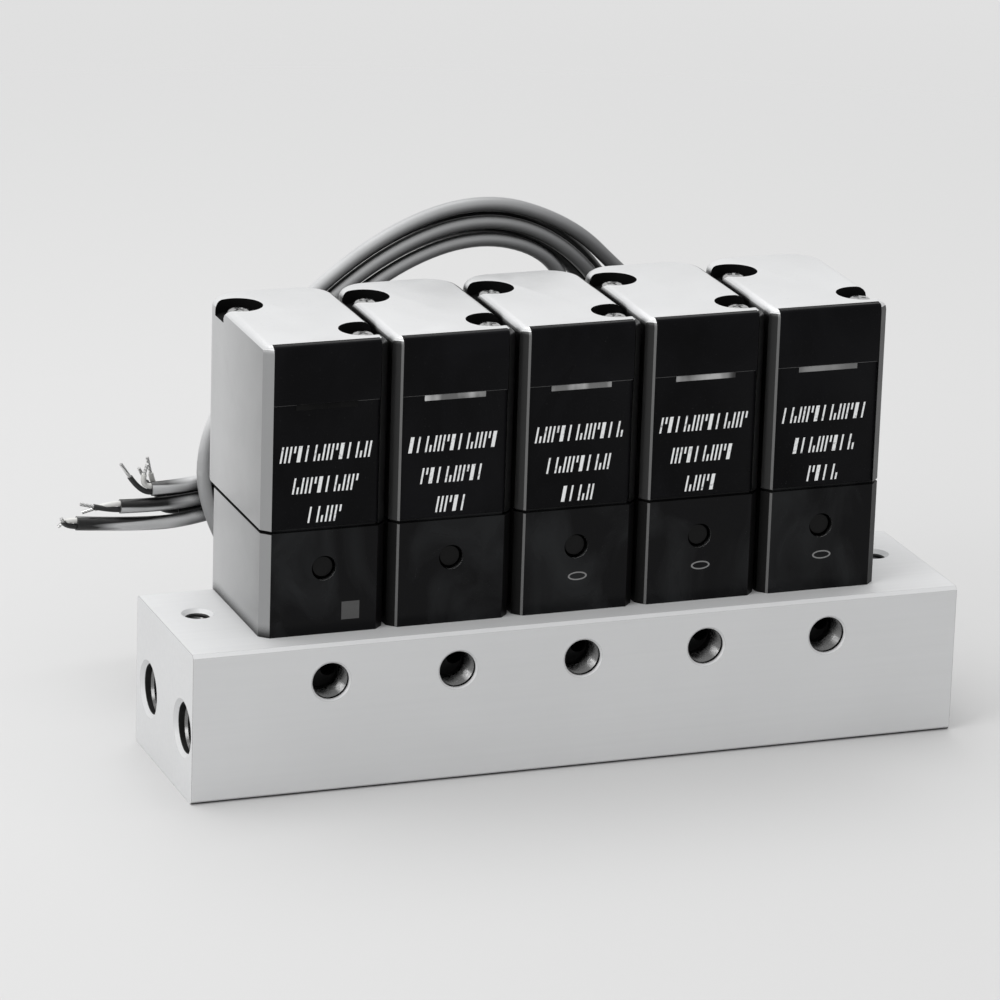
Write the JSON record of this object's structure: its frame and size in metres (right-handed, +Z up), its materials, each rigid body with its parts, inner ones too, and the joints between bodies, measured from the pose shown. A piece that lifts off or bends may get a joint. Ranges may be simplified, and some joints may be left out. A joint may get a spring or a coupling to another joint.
{
  "type": "pneumatic valve island",
  "caption": "Drilled manifold bar with a row of upright solenoid poppet valves clamped on top, front and end thread ports, push overrides, and grey leads looped behind",
  "frame": {"origin": "on the resting surface, under the middle of the manifold and valves, leads not counted", "axes": "+X along the manifold with station 1 at -X, work ports face -Y, +Z up"},
  "size_m": [0.1907, 0.0958, 0.1137],
  "materials": {
    "anodised_bar": "clear anodised, fine sawn and milled grain",
    "housing_grey": "smooth light grey satin enamel",
    "front_black": "glossy black moulding",
    "casting": "light enamel with black front",
    "copper_coil": "encapsulated winding",
    "yoke_steel": "zinc plated",
    "magnet_steel": "ground stainless",
    "seal_rubber": "nitrile",
    "brass": "turned",
    "screw_steel": "bright nickel plated",
    "lead_grey": "smooth grey PVC jacket",
    "core_insulation": "thin insulation with tinned ends"
  },
  "bodies": {
    "root": {"manifold": "anodised_bar", "gaskets": "seal_rubber", "valve_screws": "screw_steel", "lead_ring": "lead_grey", "lead_cores": "core_insulation", "valve_body_1": "casting", "solenoid_cover_1": "housing_grey", "front_plate_1": "front_black", "coil_1": "copper_coil", "yoke_1": "yoke_steel", "return_spring_1": "magnet_steel", "grommet_1": "seal_rubber", "lead_1": "lead_grey", "valve_body_2": "casting", "solenoid_cover_2": "housing_grey", "front_plate_2": "front_black", "coil_2": "copper_coil", "yoke_2": "yoke_steel", "return_spring_2": "magnet_steel", "grommet_2": "seal_rubber", "lead_2": "lead_grey", "valve_body_3": "casting", "solenoid_cover_3": "housing_grey", "front_plate_3": "front_black", "coil_3": "copper_coil", "yoke_3": "yoke_steel", "return_spring_3": "magnet_steel", "grommet_3": "seal_rubber", "lead_3": "lead_grey", "valve_body_4": "casting", "solenoid_cover_4": "housing_grey", "front_plate_4": "front_black", "coil_4": "copper_coil", "yoke_4": "yoke_steel", "return_spring_4": "magnet_steel", "grommet_4": "seal_rubber", "lead_4": "lead_grey", "valve_body_5": "casting", "solenoid_cover_5": "housing_grey", "front_plate_5": "front_black", "coil_5": "copper_coil", "yoke_5": "yoke_steel", "return_spring_5": "magnet_steel", "grommet_5": "seal_rubber", "lead_5": "lead_grey"},
    "override_1": {"override_button_1": "brass"},
    "shuttle_1": {"plunger_1": "magnet_steel", "poppet_1": "brass"},
    "override_2": {"override_button_2": "brass"},
    "shuttle_2": {"plunger_2": "magnet_steel", "poppet_2": "brass"},
    "override_3": {"override_button_3": "brass"},
    "shuttle_3": {"plunger_3": "magnet_steel", "poppet_3": "brass"},
    "override_4": {"override_button_4": "brass"},
    "shuttle_4": {"plunger_4": "magnet_steel", "poppet_4": "brass"},
    "override_5": {"override_button_5": "brass"},
    "shuttle_5": {"plunger_5": "magnet_steel", "poppet_5": "brass"}
  },
  "joints": [
    {"name": "override_push_1", "type": "slide", "parent": "root", "child": "override_1", "axis": [0, 1, 0], "range_m": [0, 0.0016], "stiffness_N_per_m": 200, "springref_m": -0.003},
    {"name": "poppet_lift_1", "type": "slide", "parent": "root", "child": "shuttle_1", "axis": [0, 0, 1], "range_m": [0, 0.0008], "stiffness_N_per_m": 400, "springref_m": -0.003, "deforming": ["return_spring_1"]},
    {"name": "override_push_2", "type": "slide", "parent": "root", "child": "override_2", "axis": [0, 1, 0], "range_m": [0, 0.0016], "stiffness_N_per_m": 200, "springref_m": -0.003},
    {"name": "poppet_lift_2", "type": "slide", "parent": "root", "child": "shuttle_2", "axis": [0, 0, 1], "range_m": [0, 0.0008], "stiffness_N_per_m": 400, "springref_m": -0.003, "deforming": ["return_spring_2"]},
    {"name": "override_push_3", "type": "slide", "parent": "root", "child": "override_3", "axis": [0, 1, 0], "range_m": [0, 0.0016], "stiffness_N_per_m": 200, "springref_m": -0.003},
    {"name": "poppet_lift_3", "type": "slide", "parent": "root", "child": "shuttle_3", "axis": [0, 0, 1], "range_m": [0, 0.0008], "stiffness_N_per_m": 400, "springref_m": -0.003, "deforming": ["return_spring_3"]},
    {"name": "override_push_4", "type": "slide", "parent": "root", "child": "override_4", "axis": [0, 1, 0], "range_m": [0, 0.0016], "stiffness_N_per_m": 200, "springref_m": -0.003},
    {"name": "poppet_lift_4", "type": "slide", "parent": "root", "child": "shuttle_4", "axis": [0, 0, 1], "range_m": [0, 0.0008], "stiffness_N_per_m": 400, "springref_m": -0.003, "deforming": ["return_spring_4"]},
    {"name": "override_push_5", "type": "slide", "parent": "root", "child": "override_5", "axis": [0, 1, 0], "range_m": [0, 0.0016], "stiffness_N_per_m": 200, "springref_m": -0.003},
    {"name": "poppet_lift_5", "type": "slide", "parent": "root", "child": "shuttle_5", "axis": [0, 0, 1], "range_m": [0, 0.0008], "stiffness_N_per_m": 400, "springref_m": -0.003, "deforming": ["return_spring_5"]}
  ],
  "couplings": [
    {"joint": "poppet_lift_1", "follows": "override_push_1", "ratio": 0.5},
    {"joint": "poppet_lift_2", "follows": "override_push_2", "ratio": 0.5},
    {"joint": "poppet_lift_3", "follows": "override_push_3", "ratio": 0.5},
    {"joint": "poppet_lift_4", "follows": "override_push_4", "ratio": 0.5},
    {"joint": "poppet_lift_5", "follows": "override_push_5", "ratio": 0.5}
  ]
}
